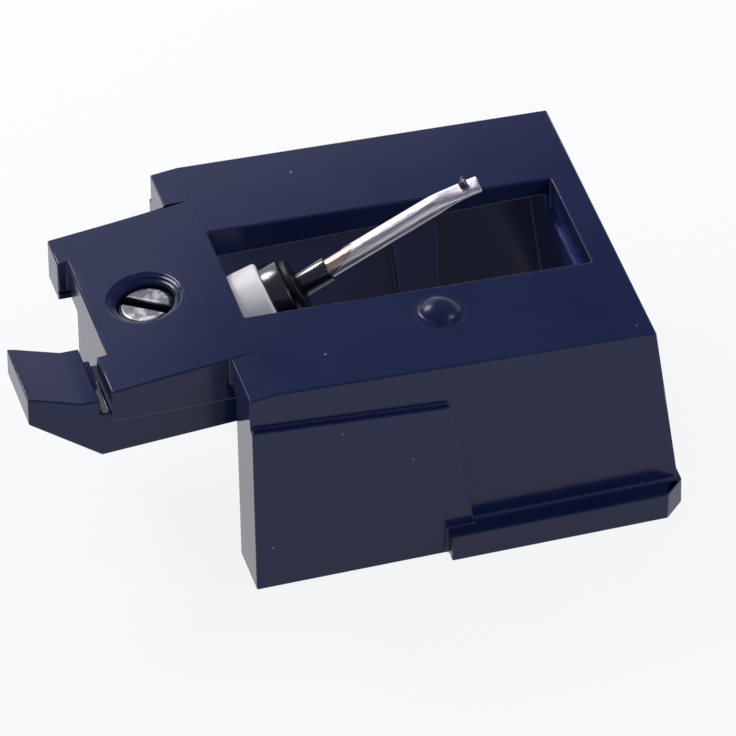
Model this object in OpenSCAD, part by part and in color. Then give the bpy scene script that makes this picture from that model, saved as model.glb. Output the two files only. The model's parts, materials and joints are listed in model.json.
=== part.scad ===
// Replacement stylus unit for a moving magnet phono cartridge, stored tip up.
// x = 0 is the shoulder, y = 0 the centreline, z = 0 the plane of the bottom rims.
// +X points to the nose, and the record would lie above the tip.

/* [Housing] */
// Width of the housing over its side walls
housing_w = 10.4; // [9.8:0.02:11.6]
// How far the centreline lies nearer to the back side wall than the middle
centre_shift = 0.22; // [0:0.02:0.3]
// Height of the fold between the two top facets
fold_z = 6.62; // [6.4:0.02:7.4]
// Distance from the shoulder to the fold
fold_x = 0.78; // [0.5:0.02:0.8]
// Rise of the rear facet towards the fold, in degrees
rear_slope = 6.6; // [4:0.1:9]
// Fall of the front facet towards the nose, in degrees
front_slope = 2.34; // [1:0.02:4]
// Distance from the shoulder to the foot of the nose
nose_foot_x = 12.26; // [11.8:0.02:14]
// Lean of the nose wall back from upright, in degrees
nose_lean = 6.8; // [3:0.1:8]
// Thickness of the nose wall
nose_t = 1.04; // [0.6:0.02:1.1]
// Width of the pocket that the cartridge body fills
pocket_w = 7.94; // [7:0.02:8.4]
// Height of the pocket's roof above the rims
pocket_h = 5.65; // [5.3:0.05:5.8]
// Radius of the pocket's upper corners
pocket_corner_r = 0.3; // [0.1:0.05:0.6]

/* [Window] */
// Distance from the shoulder to the window's rear edge
window_x = 0.82; // [0.8:0.02:1.2]
// Length of the window
window_l = 9.9; // [8:0.05:9.95]
// Width of the window
window_w = 3.88; // [3:0.02:5]

/* [Side panels and ledges] */
// How far the finger panels stand out from the side walls
panel_t = 0.2; // [0.1:0.02:0.4]
// Height of the finger panels at the shoulder
panel_h = 5.56; // [4.5:0.02:5.8]
// How much lower the top of the finger panels is at their front end
panel_fall = 0.42; // [0.1:0.02:0.6]
// Length of the finger panels at their top
panel_l = 5.6; // [5:0.05:6]
// How much longer the finger panels are where they meet the ledges
panel_run = 0.65; // [0.2:0.05:1]
// How far the bottom ledges stand out from the side walls
ledge_w = 0.6; // [0.45:0.02:0.9]
// Height of the bottom ledges
ledge_h = 0.86; // [0.6:0.02:1.2]
// Distance from the shoulder to the ledges' rear ends
ledge_x = 5.47; // [4.5:0.05:6.5]
// Size of the chamfer at the ledges' front corners
ledge_chamfer = 0.58; // [0.2:0.02:0.7]
// Radius of the fillet between a ledge and its wall
ledge_fillet = 0.12; // [0.06:0.02:0.4]

/* [Guide ribs] */
// Distance from the shoulder to the front edge of the guide ribs
rib_front_x = 7.9; // [7:0.05:9]
// Width of the guide ribs at the roof
rib_w = 1.55; // [1:0.05:2]
// How much narrower the guide ribs are at their foot
rib_taper = 0.5; // [0:0.05:0.8]
// How far the guide ribs stand into the pocket
rib_t = 0.45; // [0.2:0.05:0.6]
// Height of the foot of the guide ribs above the rims
rib_foot_z = 0.9; // [0.3:0.05:2]

/* [Tongue] */
// Length of the tongue behind the shoulder
tongue_l = 3.36; // [3.2:0.02:3.6]
// Width of the tongue
tongue_w = 6.94; // [6.2:0.02:7.6]
// Height of the tongue's underside above the rims
tongue_under_z = 5.1; // [5:0.02:5.2]
// Width of the rail along the tongue's back edge
rail_w = 1.1; // [0.8:0.05:1.3]
// Depth of that rail below the tongue's underside
rail_h = 0.25; // [0.1:0.05:0.5]
// Depth of the notch in the tongue's rear edge
notch_d = 0.29; // [0.1:0.01:0.35]
// Width of the notch in the tongue's rear edge
notch_w = 4.2; // [3.4:0.05:4.4]
// Distance of the notch's middle from the centreline
notch_y = 0.25; // [0:0.05:0.3]

/* [Hook] */
// Length of the hook behind the tongue
hook_l = 2.29; // [2:0.01:2.8]
// Width of the hook
hook_w = 2.33; // [2.1:0.01:2.35]
// How far the hook's outer face lies inside the tongue's edge
hook_inset = 0.18; // [0.1:0.02:0.3]
// Height of the hook's raised tip above its saddle
hook_rise = 0.5; // [0.2:0.02:0.8]
// Height of the hook's saddle above the rims
hook_saddle_z = 5.78; // [5.6:0.02:5.8]
// Height of the hook's lowest point above the rims
hook_foot_z = 3.87; // [3.7:0.01:4]
// Length of the hook's saddle
saddle_l = 0.52; // [0.3:0.02:0.7]
// Length of the top of the hook's raised tip
hook_tip_l = 0.25; // [0.1:0.01:0.4]
// Fall of the top of the raised tip towards the saddle
hook_tip_fall = 0.06; // [0:0.01:0.1]
// Height of the hook's toe above its lowest point
toe_h = 1.54; // [1.2:0.02:1.8]
// Rise of the hook's underside towards the window
hook_under_rise = 0.3; // [0:0.02:0.5]
// Width of the relief slot between the hook and the tongue
slot_w = 0.28; // [0.15:0.01:0.35]
// Height of the relief slot's floor above the tongue's underside
slot_floor = 0.2; // [0.1:0.02:0.4]

/* [Pip] */
// Radius of the domed pip on the front facet
pip_r = 0.64; // [0.4:0.02:0.7]
// Height of the pip above the facet
pip_h = 0.34; // [0.15:0.01:0.5]
// Distance from the shoulder to the pip
pip_x = 6.04; // [4:0.02:9]
// Distance of the pip from the centreline, on the front side
pip_y = 3.02; // [2.7:0.02:4]

/* [Bush] */
// Tilt of the bush's axis from level, in degrees
bush_tilt = 20; // [18:0.5:22]
// Distance from the shoulder to the middle of the bush's front rim
bush_rim_x = 2.1; // [1.9:0.05:2.4]
// Height of the middle of the bush's front rim above the rims of the housing
bush_rim_z = 5.42; // [5.3:0.02:5.5]
// Radius of the bush
bush_r = 1.12; // [1:0.02:1.15]
// Length of the bush
bush_l = 4.6; // [4.4:0.05:4.7]
// Radius of the hole through the bush
bush_bore_r = 0.3; // [0.2:0.02:0.4]
// Width of the chamfer round the bush's front rim
bush_chamfer = 0.06; // [0.03:0.01:0.12]
// Width of the holder that carries the bush
holder_w = 2.9; // [2.7:0.05:3]
// Height of the holder's underside above the rims, at its rear
holder_foot_z = 2.45; // [2.3:0.05:2.5]
// Height of the holder's underside above the rims, at its front
holder_nose_z = 3.3; // [3:0.05:3.4]

/* [Fixing screw] */
// Distance from the shoulder to the screw's hole
screw_x = 1.5; // [1.4:0.05:1.6]
// Radius of the screw and of its tapped hole
screw_r = 0.85; // [0.7:0.01:0.9]
// Radius of the countersink round the hole
countersink_r = 1.04; // [0.95:0.01:1.15]
// Depth of the screw's slotted face below the facet
screw_recess = 0.26; // [0.2:0.02:0.4]
// Size of the chamfer round the screw's slotted face
screw_chamfer = 0.18; // [0.05:0.01:0.25]
// Width of the screwdriver slot
driver_slot_w = 0.3; // [0.2:0.02:0.4]
// Depth of the screwdriver slot
driver_slot_d = 0.32; // [0.2:0.02:0.4]
// Turn of the screwdriver slot from the centreline, in degrees
driver_slot_turn = -40; // [-90:1:90]
// Radius of the screw's point
point_r = 0.5; // [0.4:0.02:0.6]
// Distance along the screw's axis from its shoulder to the bush
shoulder_gap = 0.26; // [0.24:0.01:0.3]
// How far the screw's point bites into the bush
point_bite = 0.16; // [0.1:0.01:0.25]

/* [Damper] */
// Radius of the rubber damper
damper_r = 0.96; // [0.88:0.01:1]
// Length of the damper in front of the bush
damper_l = 0.54; // [0.45:0.01:0.56]
// Length of the damper's spigot inside the bush
spigot_l = 0.5; // [0.3:0.05:1]
// Radius of the shim washer between the damper and the magnet
washer_r = 0.5; // [0.35:0.01:0.6]
// Thickness of the shim washer
washer_t = 0.04; // [0.03:0.005:0.08]
// Gap between the damper and the shim washer, for the sway
sway_gap = 0.032; // [0.032:0.002:0.05]
// Gap between the shim washer and the magnet where they come closest, for the lift
lift_gap = 0.016; // [0.014:0.002:0.04]
// Gap between the damper and the magnet's rim where they come closest
rim_gap = 0.046; // [0.04:0.002:0.08]

/* [Cantilever] */
// Tilt of the unloaded cantilever from level, in degrees
arm_tilt = 26.6; // [25:0.1:27]
// Distance along the bush's axis from its rim to the pivot
pivot_s = 0.81; // [0.8:0.01:0.86]
// Radius of the magnet disc
magnet_r = 0.86; // [0.75:0.01:0.9]
// Thickness of the magnet disc
magnet_t = 0.16; // [0.12:0.01:0.25]
// Radius of the black joint sleeve
sleeve_r = 0.36; // [0.34:0.01:0.45]
// Distance from the pivot to the sleeve's front end
sleeve_end = 0.99; // [0.8:0.01:1.1]
// Radius of the copper joint tube
joint_tube_r = 0.245; // [0.2:0.005:0.25]
// Wall of the copper joint tube
joint_tube_wall = 0.06; // [0.04:0.005:0.08]
// Distance from the pivot to the joint tube's front end
joint_tube_end = 2.4; // [2.2:0.05:3]
// Radius of the aluminium tube
arm_r = 0.285; // [0.275:0.005:0.31]
// Distance from the pivot to the bend
arm_straight = 4.25; // [3.8:0.05:4.6]
// Length of the aluminium tube beyond the bend's start
arm_bent = 1.5; // [1.35:0.05:1.8]
// Angle that the bend turns through, in degrees
arm_bend = 13; // [5:0.5:18]
// Share of the bend over which the tube is pressed flat
press_share = 0.67; // [0.4:0.01:0.9]
// Half of the pressed end's thickness
pressed_half_t = 0.15; // [0.13:0.01:0.2]
// Half of the pressed end's width
pressed_half_w = 0.31; // [0.29:0.01:0.34]
// Length of the slanting mouth that shows the joint tube
mouth_l = 0.9; // [0.4:0.05:1]
// How far below the tube's middle the mouth's slant begins, as a share of the radius
mouth_low = 0.3; // [0:0.05:0.9]

/* [Diamond] */
// Radius of the shank that carries the diamond
shank_r = 0.12; // [0.1:0.01:0.14]
// Height of the diamond's point above the pressed end
diamond_h = 0.28; // [0.22:0.01:0.35]
// Height of the shank's straight part above the pressed end
shank_h = 0.1; // [0.05:0.01:0.15]
// Height of the bond between the shank and the diamond above the pressed end
bond_h = 0.16; // [0.12:0.01:0.2]
// Radius of the rounded point
point_tip_r = 0.018; // [0.013:0.001:0.03]
// Distance of the diamond from the tube's end
diamond_back = 0.4; // [0.3:0.02:0.5]

/* [Tension wire] */
// Radius of the tension wire
wire_r = 0.04; // [0.03:0.005:0.06]
// How far the wire runs past the pivot
wire_past = 0.3; // [0.24:0.02:0.5]
// Length of the wire's stop at the rear of the bush
stop_l = 0.8; // [0.5:0.05:1.2]

/* [Hidden] */
$fn = 64;
over = 0.5;
lap = 0.05;
back_half_w = housing_w / 2 - centre_shift;
front_half_w = housing_w / 2 + centre_shift;
shoulder_z = fold_z - fold_x * tan(rear_slope);
nose_top_x = (nose_foot_x - (fold_z + fold_x * tan(front_slope)) * tan(nose_lean))
    / (1 - tan(front_slope) * tan(nose_lean));
nose_top_z = fold_z - (nose_top_x - fold_x) * tan(front_slope);
tongue_end_z = fold_z - (fold_x + tongue_l) * tan(rear_slope);
nose_t_x = nose_t / cos(nose_lean);
hook_front_y = tongue_w / 2 - hook_inset;
hook_back_y = hook_front_y - hook_w;
holder_rear_x = tongue_l - notch_d;
arm_wall = arm_r - joint_tube_r;
arm_l = arm_straight + arm_bent;
lean = arm_tilt - bush_tilt;
washer_s = damper_l + sway_gap;
magnet_s = max(
    washer_s + washer_t + lift_gap + washer_r * sin(lean),
    damper_l + rim_gap + magnet_r * sin(lean)
);
magnet_x = (magnet_s - pivot_s) / cos(lean);
bore_fn = 48;
fillet_fn = 32;
arm_fn = 24;
arm_rings = 8;

// Height of the top facets over a point at distance x from the shoulder
function facet_z(x) = x < fold_x ? fold_z - (fold_x - x) * tan(rear_slope)
    : fold_z - (x - fold_x) * tan(front_slope);

// Front surface of the nose and back surface of its wall, at height z
function nose_x(z) = nose_foot_x - z * tan(nose_lean);

// Stands a side profile, drawn as x and z, up between two distances from the centreline
module side_profile(y_from, y_to) {
    translate([0, y_to, 0])
        rotate([90, 0, 0])
            linear_extrude(height = y_to - y_from)
                children();
}

// Places things drawn along +X from the middle of the bush's rim
module on_bush_axis(s = 0) {
    translate([bush_rim_x, 0, bush_rim_z])
        rotate([0, -bush_tilt, 0])
            translate([s, 0, 0])
                children();
}

// Places things drawn along +X from the pivot, on the unloaded cantilever's axis
module on_arm_axis(s = 0) {
    on_bush_axis(pivot_s)
        rotate([0, bush_tilt - arm_tilt, 0])
            translate([s, 0, 0])
                children();
}

// Places things drawn along +Z from the facet, on the fixing screw's axis
module on_screw_axis(depth = 0) {
    translate([-screw_x, 0, facet_z(-screw_x)])
        rotate([0, -rear_slope, 0])
            translate([0, 0, -depth])
                children();
}

// Ring drawn from a half section of x along the axis and radius
module turned(section) {
    rotate([0, 90, 0])
        rotate_extrude($fn = bore_fn)
            polygon([for (p = section) [p[1], p[0]]]);
}

module plain_ring(x_from, x_to, r_in, r_out) {
    turned([[x_from, r_in], [x_to, r_in], [x_to, r_out], [x_from, r_out]]);
}

// Depth from the facet, along the screw's axis, at which the bush's surface is met
function bush_depth() =
    let (drop = facet_z(-screw_x) - bush_rim_z + (bush_rim_x + screw_x) * tan(bush_tilt))
    (drop * cos(bush_tilt) - bush_r) / cos(bush_tilt - rear_slope);

// One finger panel and ledge, on a wall whose outer face is at y = 0 and faces -Y
module side_relief() {
    side_profile(-panel_t, over)
        polygon([
            [0, 0], [ledge_x + over, 0], [ledge_x + over, ledge_h],
            [panel_l + panel_run, ledge_h], [panel_l, panel_h - panel_fall], [0, panel_h]
        ]);
    linear_extrude(height = ledge_h)
        polygon([
            [ledge_x, over], [ledge_x, -ledge_w], [nose_foot_x - ledge_chamfer, -ledge_w],
            [nose_foot_x, -ledge_w + ledge_chamfer], [nose_foot_x, over]
        ]);
    difference() {
        translate([panel_l, -ledge_fillet, ledge_h - over])
            cube([nose_x(ledge_h + ledge_fillet) - panel_l, ledge_fillet + over, ledge_fillet + over]);
        translate([panel_l - over, -ledge_fillet, ledge_h + ledge_fillet])
            rotate([0, 90, 0])
                cylinder(r = ledge_fillet, h = nose_foot_x, $fn = fillet_fn);
    }
}

// The shell: two side walls, a roof of two facets, and a leaning nose, open below and behind
module shell() {
    difference() {
        side_profile(-front_half_w, back_half_w)
            polygon([
                [0, 0], [nose_foot_x, 0], [nose_top_x, nose_top_z], [fold_x, fold_z], [0, shoulder_z]
            ]);
        pocket();
        translate([window_x, -window_w / 2, pocket_h - over])
            cube([window_l, window_w, fold_z]);
    }
}

// The pocket, with rounded corners between its walls and its roof
module pocket() {
    intersection() {
        side_profile(-pocket_w / 2, pocket_w / 2)
            polygon([
                [-over, -over], [nose_x(-over) - nose_t_x, -over],
                [nose_x(pocket_h) - nose_t_x, pocket_h], [-over, pocket_h]
            ]);
        translate([-over, 0, 0])
            rotate([90, 0, 90])
                linear_extrude(height = nose_foot_x + 2 * over)
                    pocket_section();
    }
}

module pocket_section() {
    corner_y = pocket_w / 2 - pocket_corner_r;
    translate([-pocket_w / 2, -over])
        square([pocket_w, pocket_h - pocket_corner_r + over]);
    translate([-corner_y, 0])
        square([2 * corner_y, pocket_h]);
    for (side = [-1, 1])
        translate([side * corner_y, pocket_h - pocket_corner_r])
            circle(r = pocket_corner_r, $fn = fillet_fn);
}

// One rib on the pocket's wall that centres the cartridge body
module guide_rib(y_from, y_to) {
    side_profile(y_from, y_to)
        polygon([
            [rib_front_x - rib_w, pocket_h + lap], [rib_front_x, pocket_h + lap],
            [rib_front_x, rib_foot_z], [rib_front_x - rib_w + rib_taper, rib_foot_z]
        ]);
}

// The tongue behind the shoulder: a slab with a rail along its back edge and a notched end
module tongue() {
    difference() {
        union() {
            side_profile(-tongue_w / 2, tongue_w / 2)
                polygon([
                    [-tongue_l, tongue_under_z], [fold_x, tongue_under_z], [fold_x, fold_z],
                    [-tongue_l, tongue_end_z]
                ]);
            translate([-tongue_l, tongue_w / 2 - rail_w, tongue_under_z - rail_h])
                cube([tongue_l + fold_x, rail_w, rail_h + lap]);
        }
        translate([-tongue_l - over, notch_y - notch_w / 2, tongue_under_z - over])
            cube([notch_d + over, notch_w, tongue_end_z]);
    }
}

// The hook below the tongue, by which the unit is drawn off the cartridge
module hook() {
    hook_x = -tongue_l - hook_l;
    saddle_x = -tongue_l - slot_w;
    rise_x = saddle_x - saddle_l;
    tip_x = hook_x + hook_tip_l;
    tip_z = hook_saddle_z + hook_rise;
    slot_z = tongue_under_z + slot_floor;
    side_profile(-hook_front_y, -hook_back_y)
        polygon([
            [hook_x, tip_z], [tip_x, tip_z - hook_tip_fall], [rise_x, hook_saddle_z],
            [saddle_x, hook_saddle_z], [saddle_x, slot_z], [-tongue_l, slot_z],
            [-tongue_l, tongue_under_z], [window_x, tongue_under_z + lap],
            [window_x, hook_foot_z + hook_under_rise], [saddle_x, hook_foot_z],
            [hook_x, hook_foot_z + toe_h]
        ]);
}

// The block under the tongue that the bush is pushed into
module holder() {
    side_profile(-holder_w / 2, holder_w / 2)
        polygon([
            [-holder_rear_x, tongue_under_z + lap], [window_x, tongue_under_z + lap],
            [window_x, holder_nose_z], [-screw_x, holder_foot_z], [-holder_rear_x, holder_foot_z]
        ]);
}

module pip() {
    dome_r = (pip_r * pip_r + pip_h * pip_h) / (2 * pip_h);
    translate([pip_x, -pip_y, facet_z(pip_x)])
        rotate([0, front_slope, 0])
            intersection() {
                translate([0, 0, pip_h - dome_r])
                    sphere(r = dome_r, $fn = bore_fn);
                translate([0, 0, -pip_h / 2])
                    cylinder(r = pip_r, h = 2 * pip_h, $fn = bore_fn);
            }
}

module housing() {
    countersink_h = countersink_r - screw_r;
    color("#23243c")
        difference() {
            union() {
                shell();
                translate([0, -front_half_w, 0])
                    side_relief();
                translate([0, back_half_w, 0])
                    mirror([0, 1, 0])
                        side_relief();
                guide_rib(pocket_w / 2 - rib_t, pocket_w / 2 + lap);
                guide_rib(-pocket_w / 2 - lap, -pocket_w / 2 + rib_t);
                tongue();
                hook();
                holder();
                pip();
            }
            on_bush_axis(-bush_l)
                rotate([0, 90, 0])
                    cylinder(r = bush_r, h = bush_l + over, $fn = bore_fn);
            on_screw_axis(bush_depth() + bush_r)
                cylinder(r = screw_r, h = bush_depth() + bush_r + over, $fn = bore_fn);
            on_screw_axis(countersink_h)
                cylinder(r1 = screw_r, r2 = countersink_r + over, h = countersink_h + over, $fn = bore_fn);
        }
}

// Slotted set screw whose narrow point bites into the bush
module fixing_screw() {
    body_end = bush_depth() - shoulder_gap;
    color("#c9c6cc")
        difference() {
            union() {
                on_screw_axis(body_end)
                    cylinder(r = screw_r, h = body_end - screw_recess - screw_chamfer, $fn = bore_fn);
                on_screw_axis(screw_recess + screw_chamfer)
                    cylinder(r1 = screw_r, r2 = screw_r - screw_chamfer, h = screw_chamfer, $fn = bore_fn);
                on_screw_axis(bush_depth() + point_bite)
                    cylinder(r = point_r, h = point_bite + shoulder_gap + lap, $fn = bore_fn);
            }
            on_screw_axis(screw_recess)
                rotate([0, 0, driver_slot_turn])
                    translate([-2 * screw_r, -driver_slot_w / 2, -driver_slot_d])
                        cube([4 * screw_r, driver_slot_w, 2 * driver_slot_d]);
        }
}

// White nylon bush, with the screw's seat in its back
module bush() {
    color("#eeebee")
        difference() {
            on_bush_axis()
                turned([
                    [-bush_l, bush_bore_r], [0, bush_bore_r], [0, bush_r - bush_chamfer],
                    [-bush_chamfer, bush_r], [-bush_l, bush_r]
                ]);
            on_screw_axis(bush_depth() + point_bite)
                cylinder(r = point_r, h = bush_depth(), $fn = bore_fn);
        }
}

// Rubber damper: a collar against the bush's rim and a spigot in its bore
module damper() {
    color("#17161b")
        on_bush_axis()
            turned([
                [-spigot_l, wire_r], [damper_l, wire_r], [damper_l, damper_r], [0, damper_r],
                [0, bush_bore_r], [-spigot_l, bush_bore_r]
            ]);
}

// Thin brass shim that the rubber bears on
module damper_washer() {
    color("#b08a50")
        on_bush_axis()
            plain_ring(washer_s, washer_s + washer_t, joint_tube_r, washer_r);
}

module tension_wire() {
    color("#9a9690")
        on_bush_axis()
            turned([
                [-bush_l, 0], [pivot_s + wire_past, 0], [pivot_s + wire_past, wire_r],
                [-bush_l, wire_r]
            ]);
}

module wire_stop() {
    color("#b08a50")
        on_bush_axis()
            plain_ring(-bush_l, stop_l - bush_l, wire_r, bush_bore_r);
}

module magnet() {
    color("#201f24")
        on_arm_axis()
            plain_ring(magnet_x, magnet_x + magnet_t, joint_tube_r, magnet_r);
}

module sleeve() {
    lip = 0.03;
    color("#0e0e12")
        on_arm_axis()
            turned([
                [magnet_x + magnet_t, joint_tube_r], [sleeve_end, joint_tube_r],
                [sleeve_end, sleeve_r - lip], [sleeve_end - lip, sleeve_r], [magnet_x + magnet_t, sleeve_r]
            ]);
}

module joint_tube() {
    color("#b98d7c")
        on_arm_axis()
            plain_ring(magnet_x, joint_tube_end, joint_tube_r - joint_tube_wall, joint_tube_r);
}

// How far along the bend a point at distance s from the pivot lies, from 0 to 1
function bend_share(s) = max(0, min(1, (s - arm_straight) / arm_bent));

// How much of the round tube is pressed flat there, eased at both ends
function pressed(s) = let (b = min(1, bend_share(s) / press_share)) b * b * (3 - 2 * b);

// Middle of the tube at distance s: straight, then an arc that turns back towards level
function arm_middle(s) = s <= arm_straight ? [s, 0]
    : let (turn = arm_bend * bend_share(s), r = arm_bent / (arm_bend * PI / 180))
      [arm_straight + r * sin(turn), -r * (1 - cos(turn))];

// Ring of points round the tube at distance s, with its radius reduced by inset and then grown.
// The first ring slants forwards on its upper side, as the mouth of the tube does.
function arm_ring(s, inset, grow) =
    let (
        m = arm_middle(s),
        turn = arm_bend * bend_share(s),
        mouth = s <= sleeve_end ? mouth_l : 0,
        half_w = (arm_r + (pressed_half_w - arm_r) * pressed(s) - inset) * grow,
        half_t = (arm_r + (pressed_half_t - arm_r) * pressed(s) - inset) * grow
    )
    [for (i = [0 : arm_fn - 1])
        let (a = 360 * i / arm_fn, up = half_t * sin(a))
        [
            m[0] + up * sin(turn) + mouth * max(0, sin(a) + mouth_low) / (1 + mouth_low),
            half_w * cos(a),
            m[1] + up * cos(turn)
        ]];

// Distances of the rings: the straight part needs two, the bend the rest
arm_stations = [sleeve_end, each [for (i = [0 : arm_rings]) arm_straight + arm_bent * i / arm_rings]];

// Closed skin through a loop of rings, each of arm_fn points, that ends where it began
module ring_loop(rings) {
    n = len(rings);
    polyhedron(
        points = [for (ring = rings) each ring],
        faces = [
            for (k = [0 : n - 1], i = [0 : arm_fn - 1])
                let (j = (i + 1) % arm_fn, next = (k + 1) % n)
                each [
                    [k * arm_fn + i, next * arm_fn + i, next * arm_fn + j],
                    [k * arm_fn + i, next * arm_fn + j, k * arm_fn + j]
                ]
        ]
    );
}

// Thin aluminium tube, bent and pressed flat at its end, with a slanting mouth at its base
module cantilever() {
    bore_grow = 1 / cos(180 / arm_fn);
    last = len(arm_stations) - 1;
    color("#d9d8de")
        on_arm_axis()
            difference() {
                ring_loop([
                    for (s = arm_stations) arm_ring(s, 0, 1),
                    for (k = [last : -1 : 0]) arm_ring(arm_stations[k], arm_wall, bore_grow)
                ]);
                on_diamond()
                    translate([0, 0, -4 * pressed_half_t])
                        cylinder(r = shank_r, h = 6 * pressed_half_t, $fn = bore_fn);
            }
}

// Places things drawn along +Z from the pressed end's upper face, where the diamond stands
module on_diamond() {
    s = arm_l - diamond_back;
    m = arm_middle(s);
    translate([m[0], 0, m[1]])
        rotate([0, arm_bend * bend_share(s), 0])
            translate([0, 0, pressed_half_t])
                children();
}

// Metal shank, set through the pressed end and tapered above it
module tip_shank() {
    color("#8d8f96")
        on_arm_axis()
            on_diamond()
                rotate_extrude($fn = bore_fn)
                    polygon([
                        [0, -2 * pressed_half_t], [shank_r, -2 * pressed_half_t], [shank_r, shank_h],
                        [cone_r(bond_h), bond_h], [0, bond_h]
                    ]);
}

// Radius of the tip's cone at height h above the pressed end
function cone_r(h) = shank_r + (point_tip_r - shank_r) * (h - shank_h) / (diamond_h - point_tip_r - shank_h);

// Diamond cone with a rounded point, bonded to the shank
module diamond() {
    color("#5c6070")
        on_arm_axis()
            on_diamond() {
                point_z = diamond_h - point_tip_r;
                translate([0, 0, bond_h])
                    cylinder(r1 = cone_r(bond_h), r2 = point_tip_r, h = point_z - bond_h, $fn = bore_fn);
                translate([0, 0, point_z])
                    sphere(r = point_tip_r, $fn = arm_fn);
            }
}

housing();
fixing_screw();
bush();
damper();
damper_washer();
tension_wire();
wire_stop();
magnet();
sleeve();
joint_tube();
cantilever();
tip_shank();
diamond();
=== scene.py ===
# %% [markdown]
# # A turntable stylus, dressed for its picture
# The packed model of a replacement stylus unit comes in as a fixed frame. It is 18 mm long and lies
# with its tip up. This lesson gives it round edges, smooth turned parts, a screw thread and real
# finishes, and lights it on a white table. Lines and sizes are read from the frame where that can be
# done. The other ones are named values in millimetres, like those of the CAD source.

# %% Load the frame
import json
import math

import bmesh
import bpy
from mathutils import Matrix, Quaternion, Vector


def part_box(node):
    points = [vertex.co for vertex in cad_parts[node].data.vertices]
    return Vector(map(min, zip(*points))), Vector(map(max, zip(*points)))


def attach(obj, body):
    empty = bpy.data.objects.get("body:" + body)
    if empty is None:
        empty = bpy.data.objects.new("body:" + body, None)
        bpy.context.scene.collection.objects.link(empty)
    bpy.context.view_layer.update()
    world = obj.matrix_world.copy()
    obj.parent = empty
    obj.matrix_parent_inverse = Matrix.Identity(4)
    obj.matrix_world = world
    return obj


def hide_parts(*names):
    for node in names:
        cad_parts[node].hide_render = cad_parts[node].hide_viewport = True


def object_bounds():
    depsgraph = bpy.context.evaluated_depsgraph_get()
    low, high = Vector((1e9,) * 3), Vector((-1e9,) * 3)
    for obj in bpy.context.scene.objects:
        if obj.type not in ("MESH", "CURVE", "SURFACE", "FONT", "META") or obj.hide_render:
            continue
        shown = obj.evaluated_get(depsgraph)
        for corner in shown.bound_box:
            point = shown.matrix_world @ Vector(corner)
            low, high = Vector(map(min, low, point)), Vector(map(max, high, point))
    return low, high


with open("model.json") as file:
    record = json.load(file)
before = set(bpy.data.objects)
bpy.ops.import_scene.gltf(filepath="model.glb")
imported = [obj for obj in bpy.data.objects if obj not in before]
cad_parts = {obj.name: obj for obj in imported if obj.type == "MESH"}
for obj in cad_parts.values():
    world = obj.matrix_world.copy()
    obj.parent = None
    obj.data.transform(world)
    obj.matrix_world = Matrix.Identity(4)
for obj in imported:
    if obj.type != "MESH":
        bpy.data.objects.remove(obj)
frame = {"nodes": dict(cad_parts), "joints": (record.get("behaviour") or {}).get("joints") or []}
cad_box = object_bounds()
MM = 0.001
joints = {joint["name"]: joint for joint in frame["joints"]}
print("nodes:", ", ".join(sorted(frame["nodes"])))

# %% [markdown]
# ## The camera
# The photo was taken from far off with a long lens, so parallel edges stay nearly parallel. A camera
# is placed by what it looks at, from which side, and from how far. It also has a small roll, because
# the photographer didn't hold it quite level, and an angle of view.

# %% Place the camera
CAMERA_AIM = Vector((4.6, -0.8, 3.0)) * MM
CAMERA_AZIMUTH = math.radians(-15.32)
CAMERA_ELEVATION = math.radians(39.43)
CAMERA_DISTANCE = 270.1 * MM
CAMERA_ROLL = math.radians(-1.14)
CAMERA_VIEW = math.radians(4.323)


def way_to(azimuth, elevation):
    """The direction from the object to a point at that azimuth and elevation."""
    level = math.cos(elevation)
    return Vector((math.sin(azimuth) * level, -math.cos(azimuth) * level, math.sin(elevation)))


lens = bpy.data.cameras.new("camera")
lens.sensor_width = 36
lens.angle = CAMERA_VIEW
lens.clip_start = 0.01
lens.clip_end = 10
camera = bpy.data.objects.new("camera", lens)
bpy.context.scene.collection.objects.link(camera)
away = way_to(CAMERA_AZIMUTH, CAMERA_ELEVATION)
camera.location = CAMERA_AIM + away * CAMERA_DISTANCE
camera.rotation_mode = "QUATERNION"
camera.rotation_quaternion = (
    (-away).to_track_quat("-Z", "Y").to_matrix() @ Matrix.Rotation(CAMERA_ROLL, 3, "Z")
).to_quaternion()
bpy.context.scene.camera = camera
print("camera at", [round(c / MM, 1) for c in camera.location], "mm")

# %% [markdown]
# ## Shader maths as plain expressions
# A finish is a small sum: a base value, plus a pattern, times a mask. Writing it node by node hides
# that sum. So a socket is wrapped in a class in which `+`, `*` and `1 - mask` add the Math nodes, and
# a finish is a class that makes every node in one method.

# %% A wire


class Wire:
    """One output socket, on which arithmetic adds Math nodes."""

    def __init__(self, finish, socket):
        self.finish, self.socket = finish, socket

    def maths(self, operation, *values, clamp=False):
        settings = {"operation": operation, "use_clamp": clamp}
        return self.finish.add("ShaderNodeMath", settings, dict(enumerate(values)))

    def __add__(self, other):
        return self.maths("ADD", self, other)

    def __rsub__(self, other):
        return self.maths("SUBTRACT", other, self)

    def __mul__(self, other):
        return self.maths("MULTIPLY", self, other)

    __radd__ = __add__
    __rmul__ = __mul__

    def clamped(self):
        return self.maths("ADD", self, 0.0, clamp=True)

    def rise(self, low, high):
        """0 up to low, 1 from high on, and smooth between them. It falls if low is above high."""
        sockets = {0: self, 1: low, 2: high, 3: 0.0, 4: 1.0}
        return self.finish.add("ShaderNodeMapRange", {"interpolation_type": "SMOOTHSTEP"}, sockets)

    def size(self):
        """The value without its sign."""
        return self.maths("ABSOLUTE", self)


print("a wire knows", len([name for name in vars(Wire) if name != "__init__"]), "names")

# %% A finish


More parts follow.
